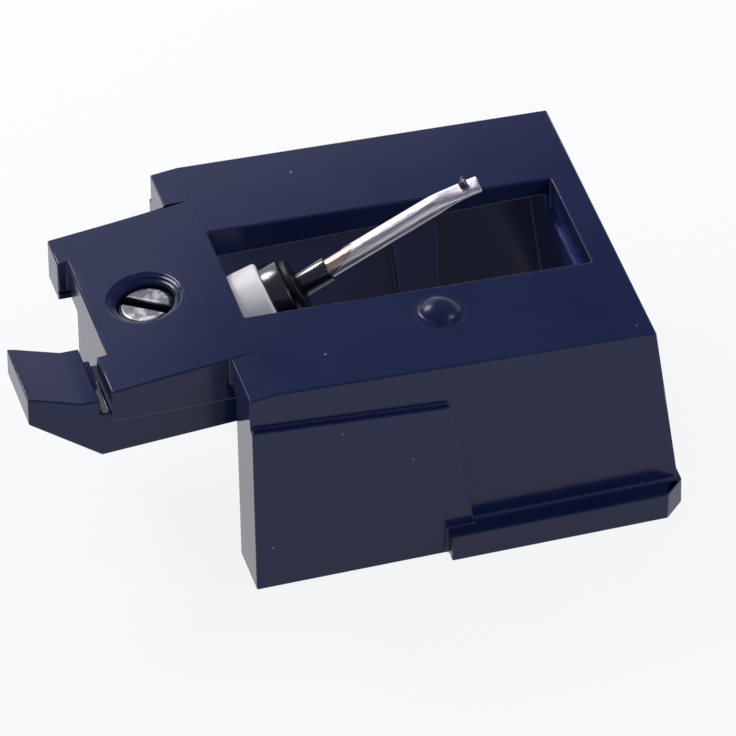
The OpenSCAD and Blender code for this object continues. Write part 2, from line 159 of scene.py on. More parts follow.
class Finish:
    """A material. Its patterns read Object coordinates in millimetres."""

    def __init__(self, name, **sockets):
        self.material = bpy.data.materials.new(name)
        self.material.use_nodes = True
        self.tree = self.material.node_tree
        self.shader = self.tree.nodes["Principled BSDF"]
        for socket, value in sockets.items():
            self.set(socket.replace("_", " "), value)

    def add(self, kind, settings=None, sockets=None, output=0):
        node = self.tree.nodes.new(kind)
        for key, value in (settings or {}).items():
            setattr(node, key, value)
        for key, value in (sockets or {}).items():
            self.feed(node.inputs[key], value)
        return Wire(self, node.outputs[output])

    def feed(self, socket, value):
        if isinstance(value, Wire):
            self.tree.links.new(value.socket, socket)
        else:
            socket.default_value = value

    def set(self, socket, value):
        self.feed(self.shader.inputs[socket], value)

    def vectors(self, operation, *values, output=0):
        sockets = dict(enumerate(values))
        return self.add("ShaderNodeVectorMath", {"operation": operation}, sockets, output)

    def place(self, turn=None, stretch=(1, 1, 1), centre=(0, 0, 0)):
        """Object coordinates in mm, from a centre in mm, turned by an Euler and then stretched."""
        objects = self.add("ShaderNodeTexCoord", output="Object")
        millimetres = self.vectors("MULTIPLY", objects, (1 / MM,) * 3)
        moved = self.vectors("SUBTRACT", millimetres, centre)
        if turn is not None:
            sockets = {"Vector": moved, "Rotation": turn}
            moved = self.add("ShaderNodeMapping", {"vector_type": "POINT"}, sockets)
        return self.vectors("MULTIPLY", moved, stretch)

    def axes(self, place):
        """The three coordinates of a place."""
        kind = "ShaderNodeSeparateXYZ"
        return [self.add(kind, None, {0: place}, output=axis) for axis in ("X", "Y", "Z")]

    def length(self, place):
        return self.vectors("LENGTH", place, output=1)

    def dot(self, place, way):
        return self.vectors("DOT_PRODUCT", place, tuple(way), output=1)

    def noise(self, place, per_mm, detail=2.0, roughness=0.5):
        sockets = {"Vector": place, "Scale": per_mm, "Detail": detail, "Roughness": roughness}
        return self.add("ShaderNodeTexNoise", {"noise_dimensions": "3D"}, sockets)

    def cells(self, place, per_mm, randomness=1.0):
        """Distance to the nearest of a crowd of points."""
        sockets = {"Vector": place, "Scale": per_mm, "Randomness": randomness}
        return self.add("ShaderNodeTexVoronoi", {"feature": "F1"}, sockets, output="Distance")

    def mix(self, share, low, high):
        """A colour between two colours."""
        settings = {"data_type": "RGBA", "clamp_factor": True}
        return self.add("ShaderNodeMix", settings, {0: share, 6: low, 7: high}, output=2)

    def bump(self, height, depth_mm, normal=None):
        """Dents the surface by a height from 0 to 1 times a depth in mm."""
        sockets = {"Height": height, "Distance": depth_mm * MM, "Strength": 1.0}
        if normal is not None:
            sockets["Normal"] = normal
        return self.add("ShaderNodeBump", None, sockets)


print("a finish knows", len([name for name in vars(Finish) if name != "__init__"]), "names")

# %% [markdown]
# ## Round edges on a CAD piece
# A moulded or turned edge is never knife-sharp: its radius of a few hundredths of a millimetre
# catches the light as a thin bright line. A CAD node's own mesh must stay as it is, so a copy is
# made, its loose triangles are joined and its flat faces are made whole. Each sharp edge then gets a
# weight: the share of the radius that the faces beside it have room for. An edge with hardly any room
# stays sharp. A Bevel modifier rounds the edges by their weights, and Weighted Normal keeps the flat
# faces flat.

# %% Copy a node's shape
JOIN = 0.0005 * MM
FLAT = math.radians(0.5)


def piece_from(name, shape, body, finish):
    """Makes a bmesh a piece that rides on a body, with a finish."""
    mesh = bpy.data.meshes.new(name)
    shape.to_mesh(mesh)
    shape.free()
    piece = bpy.data.objects.new(name, mesh)
    bpy.context.scene.collection.objects.link(piece)
    mesh.materials.append(finish.material)
    for face in mesh.polygons:
        face.use_smooth = True
    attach(piece, body)
    return piece


def joined(node):
    """A copy of a node's mesh with its loose triangles joined and its flat faces made whole."""
    shape = bmesh.new()
    shape.from_mesh(frame["nodes"][node].data)
    bmesh.ops.remove_doubles(shape, verts=shape.verts, dist=JOIN)
    bmesh.ops.dissolve_limit(shape, angle_limit=FLAT, verts=shape.verts, edges=shape.edges)
    return shape


print("a copy's points are joined within", round(JOIN / MM, 4), "mm")

# %% Soften a node
SHARP = math.radians(28)
ROOM_NEEDED = 1.4
SMALLEST_SHARE = 0.3
ROUND_SEGMENTS = 3
BIG_FACES_COUNT = 80


def room_beside(edge):
    """How wide the narrower of the two faces beside an edge is."""
    return min(f.calc_area() / edge.calc_length() for f in edge.link_faces)


def weigh_edges(shape, radius, hidden):
    """Gives each sharp edge the share of the radius that the faces beside it have room for."""
    layer = shape.edges.layers.float.new("bevel_weight_edge")
    weighed = 0
    for edge in shape.edges:
        if hidden(edge) or len(edge.link_faces) != 2:
            continue
        if edge.calc_length() > radius and edge.calc_face_angle() > SHARP:
            share = min(1.0, room_beside(edge) / (ROOM_NEEDED * radius))
            edge[layer] = share if share > SMALLEST_SHARE else 0.0
            weighed += 1
    return weighed


def soften(name, node, body, finish, radius_mm, shape=None, hidden=lambda edge: False):
    """Rounds a node's edges. The shape is the node's own where none is given."""
    shape = shape or joined(node)
    sharp = weigh_edges(shape, radius_mm * MM, hidden)
    piece = piece_from(name, shape, body, finish)
    piece.data.set_sharp_from_angle(angle=SHARP)
    bevel = piece.modifiers.new("round edges", "BEVEL")
    bevel.width = radius_mm * MM
    bevel.segments = ROUND_SEGMENTS
    bevel.limit_method = "WEIGHT"
    bevel.miter_outer = "MITER_ARC"
    bevel.use_clamp_overlap = False
    weighted = piece.modifiers.new("keep flats flat", "WEIGHTED_NORMAL")
    weighted.keep_sharp = True
    weighted.weight = BIG_FACES_COUNT
    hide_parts(node)
    print(name, "has", len(piece.data.polygons), "faces and", sharp, "sharp edges before its bevel")
    return piece


print("edges sharper than", round(math.degrees(SHARP)), "degrees get rounded")

# %% [markdown]
# ## The black moulding
# The housing is a glossy black plastic with a cool cast. Its mould was polished, so it mirrors the
# table at a low angle, but a very fine orange peel and a few scuffs blur that mirror. The base is a
# dark blue-black; noise at three scales varies the gloss, the peel and the tone, and a few specks of
# dust lie on it. The pip is a little duller, and the side walls' rear ends are glossier. The pocket's
# inside gets so little light that its base colour is painted lighter and bluer there: painted light.
#
# Each place on the housing is a mask: a product of smooth rises along the axes, in mm.

# %% Places on the moulding
PIP = (6.04, -3.02, 6.6)
PIP_RIM = (0.9, 0.75)
INSIDE_X = (0.6, 1.2)
INSIDE_Y = (4.2, 4.0)
INSIDE_Z = (5.75, 5.6)
REAR_END_X = (0.09, 0.07)
REAR_END_Y = (3.5, 3.6)


def moulding_masks(finish, place):
    """How much a point is in the pocket, on a side wall's rear end, and on the pip."""
    x, y, z = finish.axes(place)
    # The pocket's mask marks where the base colour gets painted light.
    pocket_painted_light = x.rise(*INSIDE_X) * y.size().rise(*INSIDE_Y) * z.rise(*INSIDE_Z)
    rear_end = y.size().rise(*REAR_END_Y) * x.rise(*REAR_END_X)
    pip = finish.length(finish.place(centre=PIP)).rise(*PIP_RIM)
    return pocket_painted_light, rear_end, pip


print("the pip's mask ends", PIP_RIM[0], "mm from", PIP)

# %% Moulded plastic finish
PLASTIC_DARK = (0.0085, 0.0145, 0.064, 1.0)
PLASTIC_WORN = (0.0135, 0.0205, 0.076, 1.0)
PLASTIC_DUST = (0.20, 0.21, 0.27, 1.0)
PLASTIC_POCKET_PAINTED_LIGHT = (0.022, 0.034, 0.15, 1.0)
PEEL_DEPTH = 0.0009
GRAIN_DEPTH = 0.0004


def moulded_plastic():
    finish = Finish("moulded plastic", IOR=1.35)
    place = finish.place()
    cloud = finish.noise(place, 0.45, 3.0)
    peel = finish.noise(place, 9.0, 2.0)
    grain = finish.noise(place, 42.0, 2.0)
    rubbed_along = finish.place(turn=(0.0, 0.0, 0.5), stretch=(0.25, 3.0, 3.0))
    scuffed = finish.noise(rubbed_along, 2.2, 3.0, 0.65).rise(0.6, 0.75)
    tone = (cloud * 0.7 + grain * 0.3).rise(0.35, 0.65)
    large_specks = finish.cells(place, 0.9).rise(0.045, 0.02)
    small_specks = finish.cells(place, 2.3).rise(0.03, 0.015)
    dust = large_specks + small_specks * 0.6
    pocket_painted_light, rear_end, pip = moulding_masks(finish, place)
    moulded = finish.mix(tone * 0.5 + scuffed * 0.2, PLASTIC_DARK, PLASTIC_WORN)
    dusty = finish.mix(dust.clamped(), moulded, PLASTIC_DUST)
    # Painted light: the pocket's inside gets a lighter, bluer base colour.
    finish.set("Base Color", finish.mix(pocket_painted_light, dusty, PLASTIC_POCKET_PAINTED_LIGHT))
    rough = 0.13 + cloud * 0.06 + grain * 0.03 + scuffed * 0.08 + dust * 0.4
    finish.set("Roughness", (rough + pip * 0.1) * (1 - rear_end * 0.75))
    skin = finish.bump(peel, PEEL_DEPTH)
    finish.set("Normal", finish.bump(grain, GRAIN_DEPTH, skin))
    return finish


plastic = moulded_plastic()
print("the plastic has", len(plastic.tree.nodes), "nodes")

# %% [markdown]
# The two top facets have holes in them: the window, the screw's hole and the foot of the pip. A face
# in Blender has one outline and no holes, so such a facet comes as pieces that meet at long slanting
# edges, and a bevel would leave creases along those. So each facet is cut straight through the middle
# of its holes, and the slanting edges are then dissolved.
#
# The fillets on the ledges stop just short of the leaning nose. Their ends are first moved onto it and
# joined to the nose's edges, because a bevel can't pass a gap that is narrower than its radius.

# %% Join the fillets to the nose
FILLET_END = Vector((12.143, 0, 0.98)) * MM
NOSE_LEAN = 0.119
NEAR = 0.004 * MM


def rear_x(edge):
    return min(v.co.x for v in edge.verts)


shape = joined("housing")
for vert in shape.verts:
    if abs(vert.co.x - FILLET_END.x) < NEAR and vert.co.z < FILLET_END.z:
        vert.co.x = FILLET_END.x + (FILLET_END.z - vert.co.z) * NOSE_LEAN
bmesh.ops.remove_doubles(shape, verts=shape.verts, dist=NEAR)
for top in list(shape.verts):
    if abs(top.co.x - FILLET_END.x) > NEAR or abs(top.co.z - FILLET_END.z) > NEAR:
        continue
    wall = max(top.link_faces, key=lambda face: face.calc_area())
    nose_edge = max((e for e in wall.edges if top not in e.verts), key=rear_x)
    foot = min(nose_edge.verts, key=lambda vert: vert.co.z)
    share = (top.co - foot.co).length / nose_edge.calc_length()
    twin = bmesh.utils.edge_split(nose_edge, foot, share)[1]
    bmesh.utils.face_split(wall, top, twin)
    bmesh.ops.weld_verts(shape, targetmap={twin: top})
    print("joined a fillet's end to the nose at", [round(c / MM, 3) for c in top.co])

# %% Cut the facets through their holes
ROOF_LEVEL = 5.9 * MM
UPWARD = 0.9
LARGE = MM * MM
PIP_X = PIP[0] * MM
SCREW_X = -1.5 * MM
HOLE_CUTS = [((0, 0, 0), (0, 1, 0)), ((PIP_X, 0, 0), (1, 0, 0)), ((SCREW_X, 0, 0), (1, 0, 0))]


def is_facet(face):
    level = face.calc_center_median().z
    return face.normal.z > UPWARD and face.calc_area() > LARGE and level > ROOF_LEVEL


def facets(shape):
    return [face for face in shape.faces if is_facet(face)]


def on_a_cut(edge):
    return any(
        all(abs((v.co - Vector(point)).dot(Vector(way))) < JOIN for v in edge.verts)
        for point, way in HOLE_CUTS
    )


for point, way in HOLE_CUTS:
    faces = facets(shape)
    edges = {e for f in faces for e in f.edges}
    verts = {v for f in faces for v in f.verts}
    cut = faces + list(edges) + list(verts)
    bmesh.ops.bisect_plane(shape, geom=cut, plane_co=point, plane_no=way)
faces = set(facets(shape))
slanting = [
    e
    for e in shape.edges
    if len(e.link_faces) == 2
    and faces.issuperset(e.link_faces)
    and e.calc_face_angle() < FLAT
    and not on_a_cut(e)
]
bmesh.ops.dissolve_edges(shape, edges=slanting, use_verts=False)
print("dissolved", len(slanting), "edges; the facets have", len(facets(shape)), "faces")

# %% Round the housing
HOUSING_RADIUS = 0.05
PIP_REACH = 0.75 * MM
NOSE_FOOT = Vector((12.09, 0, 1.0)) * MM
BORE_FRONT = 0.7 * MM
BORE_REACH = 1.3 * MM


def at_pip(vert):
    return vert.co.z > ROOF_LEVEL and abs(vert.co.x - PIP_X) < PIP_REACH


def at_nose_foot(vert):
    return vert.co.x > NOSE_FOOT.x and vert.co.z < NOSE_FOOT.z


def at_bore(vert):
    return vert.co.z < ROOF_LEVEL and abs(vert.co.y) < BORE_REACH and vert.co.x < BORE_FRONT


def kept_sharp(edge):
    """True in the corners round the pip and the nose, and where two bores cross unseen."""
    in_a_corner = all(map(at_pip, edge.verts)) or all(map(at_nose_foot, edge.verts))
    return (in_a_corner and not edge.is_convex) or all(map(at_bore, edge.verts))


soften(
    "housing_moulding",
    "housing",
    "unit",
    plastic,
    HOUSING_RADIUS,
    shape,
    kept_sharp,
)

# %% [markdown]
# ## Lines of the suspension
# Two slanting lines carry everything inside the window. The bush, the damper and the washer share the
# bush's line. The magnet, the sleeve and the tubes share the arm's line. Both lines run through the
# pivot of the two hinges, and both are read from the frame.

# %% The bush's line and the arm's line
pivot = Vector(joints["cantilever_sway"]["pos_m"])
across = Vector((0, 1, 0))
bush_way = across.cross(Vector(joints["cantilever_sway"]["axis"])).normalized()


def middle(node):
    low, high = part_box(node)
    return (low + high) / 2


arm_way = (middle("sleeve") - pivot).normalized()


def reach(node, way):
    """How far a node's points lie along a line from the pivot, and how far off it, in mm."""
    points = [v.co - pivot for v in frame["nodes"][node].data.vertices]
    along = [p.dot(way) for p in points]
    off = [(p - p.dot(way) * way).length for p in points]
    return min(along) / MM, max(along) / MM, min(off) / MM, max(off) / MM


def on_line(way):
    """Matrix from millimetres along +X, with +Z upwards, to a line from the pivot."""
    turn = Matrix((way, across, way.cross(across))).transposed()
    return Matrix.Translation(pivot) @ turn.to_4x4() @ Matrix.Scale(MM, 4)


bush_line = on_line(bush_way)
arm_line = on_line(arm_way)
for node, way in (("bush", bush_way), ("damper", bush_way), ("sleeve", arm_way)):
    print(node, [round(x, 3) for x in reach(node, way)])

# %% [markdown]
# ## Turned parts
# The bush, the collar, the washer, the disc, the sleeve and the copper tube are all made in one way:
# an outline is spun round a line. The spin uses many steps, so the rim stays round in a close view,
# and the rims are then rounded.

# %% Spin an outline
RIM = math.radians(40)
SEAM = 1e-5


def turn(name, node, outline, line, body, finish, slot, rounding, steps=96):
    """Spins a closed outline of (along, radius) points in mm, and rounds its rims."""
    shape = bmesh.new()
    corners = [shape.verts.new((along, 0.0, radius)) for along, radius in outline]
    sides = [shape.edges.new(pair) for pair in zip(corners, corners[1:] + corners[:1])]
    bmesh.ops.spin(
        shape,
        geom=corners + sides,
        cent=(0, 0, 0),
        axis=(1, 0, 0),
        angle=2 * math.pi,
        steps=steps,
        use_merge=True,
    )
    bmesh.ops.remove_doubles(shape, verts=shape.verts, dist=SEAM)
    bmesh.ops.recalc_face_normals(shape, faces=shape.faces)
    rims = [e for e in shape.edges if len(e.link_faces) == 2 and e.calc_face_angle() > RIM]
    bmesh.ops.bevel(
        shape,
        geom=rims,
        offset=rounding,
        segments=ROUND_SEGMENTS,
        profile=0.5,
        affect="EDGES",
        material=-1,
        clamp_overlap=True,
    )
    bmesh.ops.transform(shape, matrix=line, verts=shape.verts)
    piece = piece_from(name, shape, body, finish)
    piece.data.set_sharp_from_angle(angle=RIM)
    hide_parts(node)
    print(name, "has", len(piece.data.polygons), "faces")
    return piece


def ring(node, way):
    """The outline of a plain ring, as the CAD node has it."""
    start, end, inner, outer = reach(node, way)
    return [(start, inner), (end, inner), (end, outer), (start, outer)]


print("rims sharper than", round(math.degrees(RIM)), "degrees get rounded")

# %% [markdown]
# ## The white bush
# It is turned from nylon: very pale, faintly see-through and matte, with a small chamfer on its rim
# and a fine grain. A little subsurface light softens its shade side.

# %% Nylon finish and bush
NYLON_DARK = (0.86, 0.83, 0.86, 1)
NYLON_LIGHT = (0.94, 0.92, 0.94, 1)
BUSH_CHAMFER = 0.06


def white_nylon():
    finish = Finish(
        "white nylon",
        IOR=1.5,
        Subsurface_Weight=0.25,
        Subsurface_Radius=(1.0, 1.0, 1.0),
        Subsurface_Scale=0.15 * MM,
    )
    place = finish.place()
    cloud = finish.noise(place, 1.2, 3.0)
    grain = finish.noise(place, 30.0, 2.0)
    finish.set("Base Color", finish.mix(cloud * 0.6 + grain * 0.4, NYLON_DARK, NYLON_LIGHT))
    finish.set("Roughness", 0.38 + cloud * 0.12)
    finish.set("Normal", finish.bump(grain, 0.002))
    return finish


start, bush_end, bore, rim = reach("bush", bush_way)
chamfer = [(bush_end, rim - BUSH_CHAMFER), (bush_end - BUSH_CHAMFER, rim)]
outline = [(start, bore), (bush_end, bore), *chamfer, (start, rim)]
turn("bush_turned", "bush", outline, bush_line, "unit", white_nylon(), "white_nylon", rounding=0.02)

# %% [markdown]
# ## Rubber, magnet and sleeve
# The damper's collar is smooth black rubber, so it takes one soft white highlight. The magnet's disc
# is a duller black. The sleeve is glossy and takes the sharpest highlight. All three share one
# helper. A black has hardly any colour of its own, so what tells them apart is the index of
# refraction, which says how much they mirror, and the roughness, which says how sharply.

# %% Black finishes
WORN_GAIN = 1.8
INK = (0.003, 0.003, 0.010)
GRAPHITE = (0.006, 0.006, 0.009)


def smooth_black(name, colour, roughness, peel_mm, ior):
    finish = Finish(name, IOR=ior)
    place = finish.place()
    cloud = finish.noise(place, 2.5, 3.0)
    grain = finish.noise(place, 26.0, 2.0)
    worn = tuple(WORN_GAIN * c for c in colour)
    finish.set("Base Color", finish.mix(cloud.rise(0.4, 0.7), (*colour, 1), (*worn, 1)))
    finish.set("Roughness", roughness + cloud * 0.08)
    finish.set("Normal", finish.bump(grain, peel_mm))
    return finish


rubber = smooth_black("damper rubber", INK, roughness=0.17, peel_mm=0.0015, ior=1.95)
magnet_black = smooth_black("magnet black", GRAPHITE, roughness=0.42, peel_mm=0.003, ior=1.4)
sleeve_black = smooth_black("sleeve black", INK, roughness=0.16, peel_mm=0.0008, ior=1.95)
print("blacks:", rubber.material.name, magnet_black.material.name, sleeve_black.material.name)

# %% [markdown]
# ## Turned metal
# A turned surface is a crowd of fine rings. A fine noise stands for them here, because the washer,
# the wire, its stop and the tip's shank are so small that single rings would never be seen. The
# washer is a thin shim in the groove between the collar and the disc. Its brass is painted very dark,
# a painted shade for that groove, so it doesn't shine out of it. The hidden stop shares that brass.

# %% Turned metal finishes


def turned_metal(name, dark, light, roughness):
    finish = Finish(name, Metallic=1.0)
    place = finish.place()
    rings = finish.noise(place, 60.0, 2.0)
    finish.set("Base Color", finish.mix(rings, (*dark, 1), (*light, 1)))
    finish.set("Roughness", roughness + rings * 0.1)
    finish.set("Normal", finish.bump(rings, 0.002))
    return finish


# Painted shade: this brass is made very dark so the washer's groove stays dark.
shaded_brass = turned_metal("turned brass", (0.06, 0.04, 0.02), (0.11, 0.075, 0.035), 0.45)
wire_steel = turned_metal("spring wire", (0.4, 0.39, 0.37), (0.6, 0.58, 0.55), 0.3)
tip_metal = turned_metal("tip metal", (0.035, 0.035, 0.05), (0.10, 0.10, 0.13), 0.22)
print("metals:", shaded_brass.material.name, wire_steel.material.name, tip_metal.material.name)

# %% Damper, washer, magnet and sleeve
start, end, wire, collar = reach("damper", bush_way)
spigot = [(bush_end, bore), (start, bore)]
outline = [(start, wire), (end, wire), (end, collar), (bush_end, collar), *spigot]
turn("damper_collar", "damper", outline, bush_line, "unit", rubber, "damper_rubber", rounding=0.03)
outline = ring("damper_washer", bush_way)
turn("washer_ring", "damper_washer", outline, bush_line, "gimbal", shaded_brass, "stop_brass", rounding=0.008)
outline = ring("magnet", arm_way)
turn("magnet_disc", "magnet", outline, arm_line, "arm", magnet_black, "magnet_black", rounding=0.03)
outline = ring("sleeve", arm_way)
turn("sleeve_turned", "sleeve", outline, arm_line, "arm", sleeve_black, "sleeve_black", rounding=0.03)

# %% [markdown]
# ## Drawn metal tubes
# The arm is a thin aluminium tube with a copper one inside its root. Drawing leaves fine lines along
# a tube, so the noise is stretched along the arm. Object coordinates are turned onto the arm's line
# first, and then squeezed along it.

# %% Drawn metal finishes
ARM_TILT = math.atan2(arm_way.z, arm_way.x)


def drawn_metal(name, dark, light, roughness, line_mm):
    finish = Finish(name, Metallic=1.0)
    along = finish.place(turn=(0.0, ARM_TILT, 0.0), stretch=(0.06, 1.0, 1.0))
    lines = finish.noise(along, 26.0, 3.0, 0.6)
    stains = finish.noise(finish.place(), 3.0, 3.0)
    tone = lines.rise(0.38, 0.6) * 0.6 + stains * 0.4
    finish.set("Base Color", finish.mix(tone, (*dark, 1), (*light, 1)))
    finish.set("Roughness", roughness + lines * 0.12)
    finish.set("Normal", finish.bump(lines, line_mm))
    return finish


aluminium = drawn_metal("drawn aluminium", (0.52, 0.48, 0.55), (0.95, 0.92, 0.97), 0.28, 0.010)
copper = drawn_metal("copper tube", (0.50, 0.33, 0.27), (0.86, 0.66, 0.58), 0.3, 0.006)
print("the arm leans", round(math.degrees(ARM_TILT), 1), "degrees")

# %% Joint tube
outline = ring("joint_tube", arm_way)
turn("joint_tube_drawn", "joint_tube", outline, arm_line, "arm", copper, "copper", rounding=0.01, steps=64)

# %% [markdown]
# ## The cantilever
# The aluminium tube is straight, then bends back towards level while a press flattens it. It starts
# as one circle. The circle is extruded from station to station; each new ring is turned with the
# bend and squeezed by the press. A slanting cut then opens the mouth at the root, where the copper
# tube shows, Solidify gives the wall its thickness, and a small bevel takes the edge off its lip.

# %% Sizes of the cantilever, in mm
ARM_R = 0.285
ARM_SIDES = 64
ARM_WALL = 0.04
ARM_STRAIGHT = 4.25
ARM_BENT = 1.5
ARM_BEND = math.radians(13)
PRESS_SHARE = 0.67
PRESSED_HALF_T = 0.15
PRESSED_HALF_W = 0.31
MOUTH_L = 0.9
MOUTH_LOW = 0.3
LIP_R = 0.008
LIP_ANGLE = math.radians(60)
BEND_STATIONS = 24
sleeve_end = reach("sleeve", arm_way)[1]


def arm_middle(share):
    """Middle of the tube at a share of the bend, from 0 to 1."""
    radius = ARM_BENT / ARM_BEND
    turned = ARM_BEND * share
    return Vector((ARM_STRAIGHT + radius * math.sin(turned), 0, -radius * (1 - math.cos(turned))))


def pressed(share):
    """How flat the press leaves the tube there, from 0 to 1."""
    eased = min(1.0, share / PRESS_SHARE)
    return eased * eased * (3 - 2 * eased)


def tube_size(share):
    half_w = ARM_R + (PRESSED_HALF_W - ARM_R) * pressed(share)
    half_t = ARM_R + (PRESSED_HALF_T - ARM_R) * pressed(share)
    return half_w, half_t


print("tube at its end is", [round(2 * x, 2) for x in tube_size(1.0)], "mm wide and thick")

# %% Draw, bend and press the tube
shape = bmesh.new()
circle = bmesh.ops.create_circle(shape, cap_ends=False, radius=ARM_R, segments=ARM_SIDES)
bmesh.ops.rotate(shape, verts=circle["verts"], matrix=Matrix.Rotation(math.pi / 2, 3, "Y"))
bmesh.ops.translate(shape, verts=circle["verts"], vec=(sleeve_end, 0, 0))
rim_edges = list(shape.edges)
stations = [i / BEND_STATIONS for i in range(BEND_STATIONS + 1)]
last_middle = Vector((sleeve_end, 0, 0))
last_size = (ARM_R, ARM_R)
last_turn = 0.0
for share in stations:
    grown = bmesh.ops.extrude_edge_only(shape, edges=rim_edges)["geom"]
    ring_verts = [g for g in grown if isinstance(g, bmesh.types.BMVert)]
    grown_edges = [g for g in grown if isinstance(g, bmesh.types.BMEdge)]
    rim_edges = [e for e in grown_edges if all(v in ring_verts for v in e.verts)]
    here = arm_middle(share)
    size = tube_size(share)
    bend = ARM_BEND * share
    bmesh.ops.translate(shape, verts=ring_verts, vec=-last_middle)
    bmesh.ops.rotate(shape, verts=ring_verts, matrix=Matrix.Rotation(-last_turn, 3, "Y"))
    squeeze = (1.0, size[0] / last_size[0], size[1] / last_size[1])
    bmesh.ops.scale(shape, verts=ring_verts, vec=squeeze)
    bmesh.ops.rotate(shape, verts=ring_verts, matrix=Matrix.Rotation(bend, 3, "Y"))
    bmesh.ops.translate(shape, verts=ring_verts, vec=here)
    last_middle, last_size, last_turn = here, size, bend
print("the tube has", len(shape.faces), "faces before its mouth is cut")

# %% Cut the mouth and give the tube its wall
mouth_foot = (sleeve_end, 0, -MOUTH_LOW * ARM_R)
mouth_slant = MOUTH_L / ((1 + MOUTH_LOW) * ARM_R)
everything = list(shape.verts) + list(shape.edges) + list(shape.faces)
bmesh.ops.bisect_plane(
    shape, geom=everything, plane_co=mouth_foot, plane_no=(1, 0, -mouth_slant), clear_inner=True
)
bmesh.ops.recalc_face_normals(shape, faces=shape.faces)
bmesh.ops.transform(shape, matrix=arm_line, verts=shape.verts)
cantilever = piece_from("cantilever_tube", shape, "arm", aluminium)
wall = cantilever.modifiers.new("wall", "SOLIDIFY")
wall.thickness = ARM_WALL * MM
wall.offset = -1
wall.use_even_offset = True
lip = cantilever.modifiers.new("lip", "BEVEL")
lip.width = LIP_R * MM
lip.segments = 2
lip.limit_method = "ANGLE"
lip.angle_limit = LIP_ANGLE
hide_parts("cantilever")
print("cantilever has", len(cantilever.data.polygons), "faces before its wall")

# %% [markdown]
# ## The tip
# A ground metal shank goes through the pressed end and carries the diamond. The diamond looks almost
# black from here, because it bends the light of the dark housing into view. So it gets a dark base,
# a painted reflection of that dark housing, and only a little transmission, but the high index of
# refraction that gives a diamond its glint.

# %% Tip finishes and pieces
# Painted reflection: the diamond's dark base stands in for the dark housing seen through it.
DIAMOND_PAINTED_DARK = (0.02, 0.022, 0.03, 1)
DIAMOND_PAINTED_LIGHTER = (0.05, 0.055, 0.07, 1)

gem = Finish("diamond", IOR=2.417, Roughness=0.05, Transmission_Weight=0.25)
spots = gem.noise(gem.place(), 20.0, 2.0)
gem.set("Base Color", gem.mix(spots, DIAMOND_PAINTED_DARK, DIAMOND_PAINTED_LIGHTER))
soften("tip_shank_ground", "tip_shank", "arm", tip_metal, radius_mm=0.008)
soften("diamond_cone", "diamond", "arm", gem, radius_mm=0.002)

# %% [markdown]
# ## The fixing screw and its thread
# The slotted screw sits below the facet in a tapped hole. Its slotted face is steel, bright where it
# is bare and dark where it is stained. Below that face, in the slot, it is painted black, a painted
# shade for the slot. So the finish measures how high a point is along the screw's line, and is metal
# only at the top.
#
# The thread round it belongs to the housing. It is a helix: one triangular tooth swept round the
# hole's line while it sinks, and then widened where the hole has its countersink.

# %% The screw's line
FACET_SLOPE = math.radians(6.6)
SCREW_RECESS = 0.26

screw_way = Vector((-math.sin(FACET_SLOPE), 0, math.cos(FACET_SLOPE)))
screw_points = [v.co.dot(screw_way) for v in frame["nodes"]["fixing_screw"].data.vertices]
face_height = max(screw_points) / MM
facet_height = face_height + SCREW_RECESS
hole_top = Vector((SCREW_X / MM, 0, (facet_height - SCREW_X / MM * screw_way.x) / screw_way.z))
print("the screw's hole opens at", [round(c, 3) for c in hole_top], "mm")

# %% Steel finish and screw
STEEL_STAINED = (0.10, 0.10, 0.12, 1)
STEEL_BARE = (0.62, 0.61, 0.65, 1)
SLOT_PAINTED_SHADE = (0.012, 0.012, 0.02, 1)
PAINTED_SHADE_BELOW = (-0.1, -0.02)


def bright_steel():
    finish = Finish("bright steel")
    place = finish.place()
    grain = finish.noise(place, 14.0, 3.0)
    # Painted shade: below the face, in the slot, the base is black and not metal.
    top = finish.dot(place, screw_way).rise(*(face_height + step for step in PAINTED_SHADE_BELOW))
    stains = finish.noise(place, 2.6, 3.0).rise(0.42, 0.58)
    metal = finish.mix(grain * 0.3 + stains * 0.7, STEEL_STAINED, STEEL_BARE)
    finish.set("Base Color", finish.mix(top, SLOT_PAINTED_SHADE, metal))
    finish.set("Metallic", top)
    finish.set("Roughness", 0.26 + grain * 0.16)
    finish.set("Normal", finish.bump(grain, 0.006))
    return finish


steel = bright_steel()
soften("fixing_screw_slotted", "fixing_screw", "unit", steel, radius_mm=0.03)

# %% Thread of the screw's hole
HOLE_R = 0.85
COUNTERSINK_R = 1.04
THREAD_TOP = 0.05
THREAD_PITCH = 0.085
THREAD_TURNS = 3
THREAD_STEPS = 72
TOOTH = 0.035
TOOTH_SHARE = 0.42
ROOT = 0.02


def widened(vert):
    """How much wider than the tapped hole the countersink is at a point's depth."""
    return max(1.0, (COUNTERSINK_R + vert.co.z) / HOLE_R)


shape = bmesh.new()
half = THREAD_PITCH * TOOTH_SHARE
tooth = [(HOLE_R + ROOT, half), (HOLE_R - TOOTH, 0), (HOLE_R + ROOT, -half)]
corners = [shape.verts.new((r, 0, z - THREAD_TOP)) for r, z in tooth]
sides = [shape.edges.new(pair) for pair in zip(corners, corners[1:] + corners[:1])]
bmesh.ops.spin(
    shape,
    geom=corners + sides,
    cent=(0, 0, 0),
    axis=(0, 0, 1),
    dvec=(0, 0, -THREAD_PITCH / THREAD_STEPS),
    angle=2 * math.pi * THREAD_TURNS,
    steps=THREAD_STEPS * THREAD_TURNS,
)
for vert in shape.verts:
    vert.co.xy *= widened(vert)
bmesh.ops.holes_fill(shape, edges=[e for e in shape.edges if e.is_boundary])
bmesh.ops.recalc_face_normals(shape, faces=shape.faces)
depths = [v.co.z for v in shape.verts]
print("thread from", round(-max(depths), 3), "to", round(-min(depths), 3), "mm deep")

